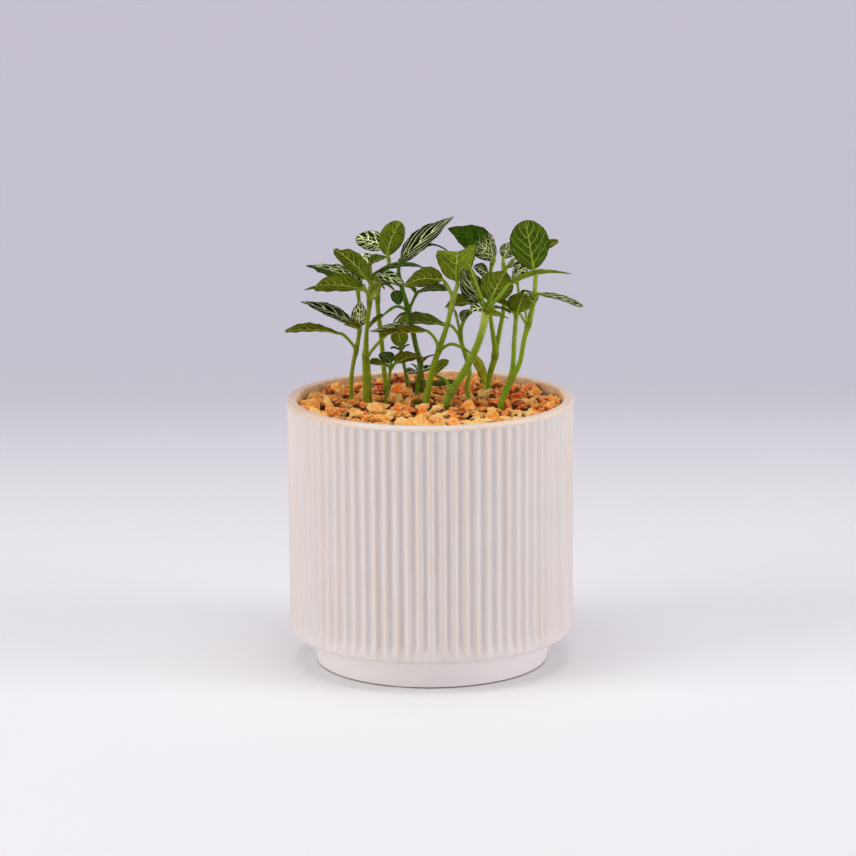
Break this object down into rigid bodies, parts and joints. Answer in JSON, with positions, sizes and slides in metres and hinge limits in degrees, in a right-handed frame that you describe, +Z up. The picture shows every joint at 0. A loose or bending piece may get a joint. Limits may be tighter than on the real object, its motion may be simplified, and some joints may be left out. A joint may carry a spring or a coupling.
{
  "type": "potted nerve plant",
  "caption": "Small nerve plant with white-netted leaves in a round ribbed glazed pot, top-dressed with orange stone chips.",
  "frame": {"origin": "middle of the pot's flat underside", "axes": "+Z up, -Y towards the front of the plant as it is seen, +X to the viewer's right"},
  "size_m": [0.1239, 0.1204, 0.1876],
  "materials": {
    "glaze": "satin pale beige glaze, warmer where it thins on the lip",
    "soil": "dark crumbly peat and bark",
    "chips": "dry rough orange-tan stone chips",
    "foliage": "satin green leaves with pale netted veins, on yellow-green hairy stems"
  },
  "bodies": {
    "root": {"pot": "glaze", "potting_soil": "soil", "gravel": "chips", "leafy_stem_1": "foliage", "leafy_stem_2": "foliage", "leafy_stem_3": "foliage", "leafy_stem_4": "foliage", "leafy_stem_5": "foliage", "leafy_stem_6": "foliage", "leafy_stem_7": "foliage", "leafy_stem_8": "foliage", "leafy_stem_9": "foliage", "leafy_stem_10": "foliage", "leafy_stem_11": "foliage", "leafy_stem_12": "foliage"}
  },
  "joints": []
}
